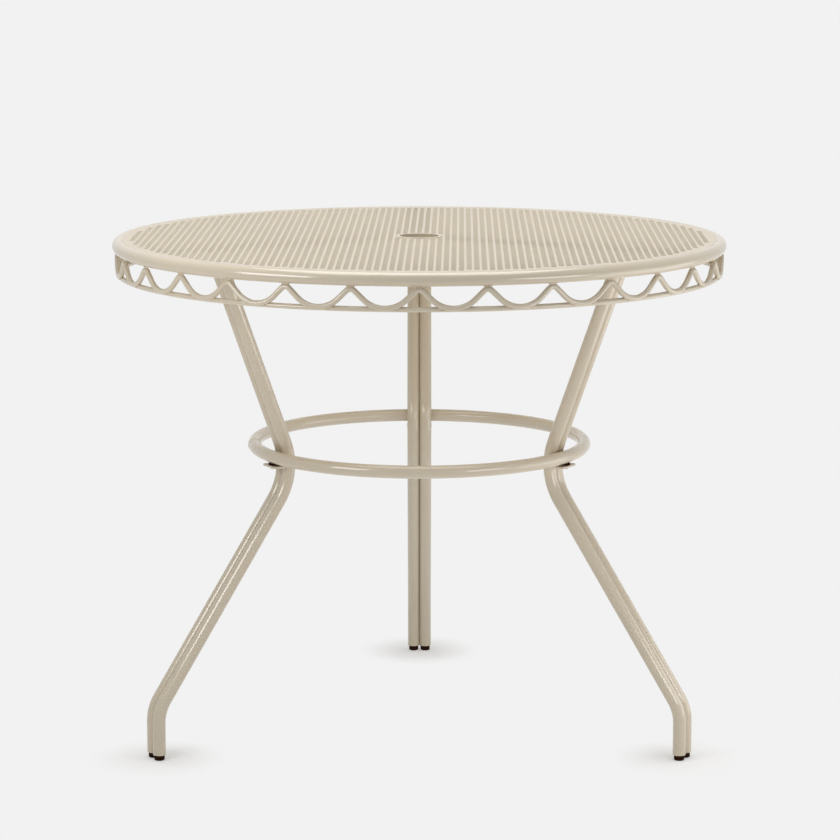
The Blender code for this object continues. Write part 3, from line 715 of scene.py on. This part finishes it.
class Finish(Nodes):
    """A material, with the shader that its nodes feed."""

    def __init__(self, name, slot=None):
        self.slot = slot
        self.material = bpy.data.materials.new(name)
        super().__init__(self.material)
        self.shader = self.tree.nodes["Principled BSDF"]

    def set(self, **values):
        """Values and links of the shader's own sockets, with _ for a space in their names."""
        for name, value in values.items():
            self.feed(self.shader.inputs[name.replace("_", " ")], value)

    def noise(self, scale, detail, place):
        """Noise on the object's own coordinates, about 0.5."""
        inputs = {"Vector": place, "Scale": scale, "Detail": detail}
        return self.add("ShaderNodeTexNoise", {}, inputs)

    def place(self):
        return self.add("ShaderNodeTexCoord", {}, {}, "Object")

    def blend(self, share, first, second):
        """A colour between two others."""
        inputs = {0: share, 6: (*first, 1.0), 7: (*second, 1.0)}
        return self.add("ShaderNodeMix", {"data_type": "RGBA"}, inputs, 2)

    def bump(self, height, strength, distance):
        inputs = {"Height": height, "Strength": strength, "Distance": distance}
        return self.add("ShaderNodeBump", {}, inputs)


def powder_coat(name, roughness, reflection):
    """Warm cream powder coat: half gloss, with an orange peel and a slightly uneven tone."""
    coat = Finish(name, "cream_powder_coat")
    place = coat.place()
    drift, mottle = coat.noise(7.0, 2.0, place), coat.noise(160.0, 3.0, place)
    peel = coat.noise(300.0, 1.0, place)
    tone = drift * 0.6 + mottle * 0.4
    coat.set(
        Base_Color=coat.blend(tone, COAT_DARK, COAT_LIGHT),
        Roughness=roughness + drift * 0.04,
        Specular_IOR_Level=reflection,
        Normal=coat.bump(peel, 0.01, 0.0002),
    )
    return coat


def moulded_plastic():
    """Dark brown-black plastic with the fine grain of its mould."""
    plastic = Finish("moulded_brown_plastic", "dark_plastic")
    place = plastic.place()
    cloud, grain = plastic.noise(90.0, 3.0, place), plastic.noise(1900.0, 2.0, place)
    plastic.set(
        Base_Color=plastic.blend(cloud, (0.018, 0.006, 0.002), (0.030, 0.010, 0.004)),
        Roughness=0.50 + grain * 0.16,
        Specular_IOR_Level=0.05,
        Normal=plastic.bump(grain, 0.25, 0.0002),
    )
    return plastic


def plated_steel():
    """Zinc plate: a cloudy grey metal with faint turning marks."""
    zinc = Finish("zinc_plate", "zinc_steel")
    place = zinc.place()
    cloud, grain = zinc.noise(220.0, 4.0, place), zinc.noise(3200.0, 1.0, place)
    zinc.set(
        Base_Color=zinc.blend(cloud, (0.47, 0.46, 0.43), (0.63, 0.63, 0.61)),
        Metallic=1.0,
        Roughness=0.30 + cloud * 0.22,
        Normal=zinc.bump(grain, 0.2, 0.0001),
    )
    return zinc


def shown_ray(scene_part):
    """1 for rays from the camera, and for those that metal and glass send on."""
    names = ("Is Camera Ray", "Is Glossy Ray", "Is Transmission Ray")
    rays = [scene_part.add("ShaderNodeLightPath", {}, {}, name) for name in names]
    clamped = {"operation": "ADD", "use_clamp": True}
    pair = scene_part.add("ShaderNodeMath", clamped, {0: rays[0], 1: rays[1]})
    return scene_part.add("ShaderNodeMath", clamped, {0: pair, 1: rays[2]})


def make_floor():
    """A pale floor that shows as the plain background, and darker only in the feet's shade."""
    floor = Finish("pale_floor")
    place = floor.place()
    nearest = None
    for azimuth in LEGS.values():
        x, y = (FOOT_RADIUS * f(math.radians(azimuth)) for f in (math.cos, math.sin))
        inputs = {0: place, 1: (x, y, 0.0)}
        away = floor.add("ShaderNodeVectorMath", {"operation": "DISTANCE"}, inputs, "Value")
        nearest = away if nearest is None else away.math("MINIMUM", nearest, away)
    inputs = {"Value": nearest, "From Min": SHADE_FROM, "From Max": SHADE_TO}
    inputs |= {"To Min": FOOT_SHADE, "To Max": OPEN_SHADE}
    share = floor.add("ShaderNodeMapRange", {"interpolation_type": "SMOOTHSTEP"}, inputs)
    centre = floor.add("ShaderNodeVectorMath", {"operation": "LENGTH"}, {0: place}, "Value")
    inputs = {"Value": centre, "From Min": TABLE_SHADE_FROM, "From Max": TABLE_SHADE_TO}
    inputs |= {"To Min": 0.0, "To Max": 1.0}
    far = floor.add("ShaderNodeMapRange", {"interpolation_type": "SMOOTHSTEP"}, inputs)
    share = share.math("MAXIMUM", share, far)
    shown = shown_ray(floor) * share
    matt = floor.add("ShaderNodeBsdfDiffuse", {}, {"Color": (*[FLOOR_ALBEDO] * 3, 1.0)})
    glow = floor.add("ShaderNodeEmission", {}, {"Color": (*[FLOOR_GLOW] * 3, 1.0)})
    lit = floor.add("ShaderNodeAddShader", {}, {0: matt, 1: glow})
    plain = floor.add("ShaderNodeEmission", {}, {"Color": (*[BACKGROUND] * 3, 1.0)})
    mixed = floor.add("ShaderNodeMixShader", {}, {0: shown, 1: lit, 2: plain})
    floor.feed(floor.tree.nodes["Material Output"].inputs["Surface"], mixed)
    floor.tree.nodes.remove(floor.shader)
    mesh = bpy.data.meshes.new("floor")
    reach = FLOOR_REACH
    corners = [(-reach, -reach, 0), (reach, -reach, 0), (reach, reach, 0), (-reach, reach, 0)]
    mesh.from_pydata(corners, [], [(0, 1, 2, 3)])
    mesh.materials.append(floor.material)
    plane = bpy.data.objects.new("floor", mesh)
    bpy.context.scene.collection.objects.link(plane)


def make_world():
    """An even studio light all round, which shows as the same plain background."""
    world = bpy.data.worlds.new("studio")
    bpy.context.scene.world = world
    sky = Nodes(world)
    shown = shown_ray(sky)
    fill = sky.tree.nodes["Background"]
    fill.inputs["Color"].default_value = (1.0, 1.0, 1.0, 1.0)
    strength = shown * (BACKGROUND - WORLD_LIGHT) + WORLD_LIGHT
    sky.feed(fill.inputs["Strength"], strength)


def make_softbox(name, azimuth, elevation, distance, width, height, radiance):
    """A rectangular lamp that looks at the table, given by the brightness of its face."""
    light = bpy.data.lights.new(name, "AREA")
    light.shape = "RECTANGLE"
    light.size, light.size_y = width, height
    light.energy = radiance * math.pi * width * height
    lamp = bpy.data.objects.new(name, light)
    a, e = math.radians(azimuth), math.radians(elevation)
    back = Vector((math.sin(a) * math.cos(e), -math.cos(a) * math.cos(e), math.sin(e)))
    lamp.location = Vector((0.0, 0.0, AIM_HEIGHT)) + back * distance
    lamp.rotation_euler = back.to_track_quat("Z", "Y").to_euler()
    bpy.context.scene.collection.objects.link(lamp)


def make_camera():
    """The photograph's view: a long lens a little above the top, looking slightly down."""
    lens = bpy.data.cameras.new("camera")
    lens.lens, lens.sensor_width = LENS, SENSOR_WIDTH
    camera = bpy.data.objects.new("camera", lens)
    camera.location = CAMERA_PLACE
    camera.rotation_euler = (CAMERA_PITCH, 0.0, 0.0)
    bpy.context.scene.collection.objects.link(camera)
    bpy.context.scene.camera = camera


def main():
    cream = powder_coat("warm_cream_coat", 0.14, 1.0)
    flat_cream = powder_coat("warm_cream_coat_on_sheet", 0.28, 0.5)
    plastic, zinc = moulded_plastic(), plated_steel()
    make_rim(cream)
    make_perforated_sheet(flat_cream)
    make_collar(cream)
    make_apron(cream)
    make_ring(cream)
    for side, azimuth in LEGS.items():
        make_rail(side, azimuth, cream)
        make_top_plate(side, azimuth, cream)
        make_leg_tubes(side, azimuth, cream, plastic)
        make_bracket(side, azimuth, cream)
        make_top_fasteners(side, azimuth, cream, zinc)
        make_ring_fasteners(side, azimuth, zinc, plastic)
    make_floor()
    make_world()
    for name, place in SOFTBOXES.items():
        make_softbox(name, *place)
    make_camera()
    bpy.context.scene.view_settings.view_transform = "Standard"


main()
